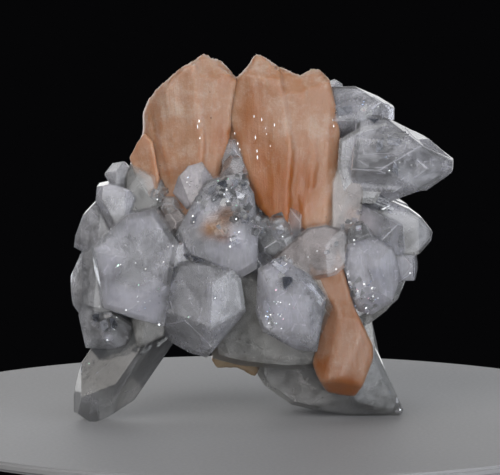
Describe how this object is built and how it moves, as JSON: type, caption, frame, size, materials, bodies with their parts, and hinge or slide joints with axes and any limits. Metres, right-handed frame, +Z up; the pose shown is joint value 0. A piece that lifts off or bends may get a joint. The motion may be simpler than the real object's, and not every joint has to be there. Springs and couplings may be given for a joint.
{
  "type": "apophyllite cluster",
  "caption": "Cluster of clear to milky blocky mineral crystals grown together, with upright peach stilbite sheaves, standing on its own crystal tips.",
  "frame": {"origin": "middle of the footprint's bounding box, on the surface that the cluster stands on", "axes": "+X to the right along the cluster's longest extent, +Y from the front crystals to the rear ones, its shortest extent, +Z up"},
  "size_m": [0.083, 0.057, 0.0788],
  "materials": {
    "apophyllite": "gloss",
    "stilbite": "satin"
  },
  "bodies": {
    "root": {"apophyllite_cluster": "apophyllite", "stilbite_left_sheaf": "stilbite", "stilbite_right_sheaf": "stilbite", "stilbite_lower_blade": "stilbite", "stilbite_side_blade": "stilbite", "stilbite_under_plate": "stilbite"}
  },
  "joints": []
}
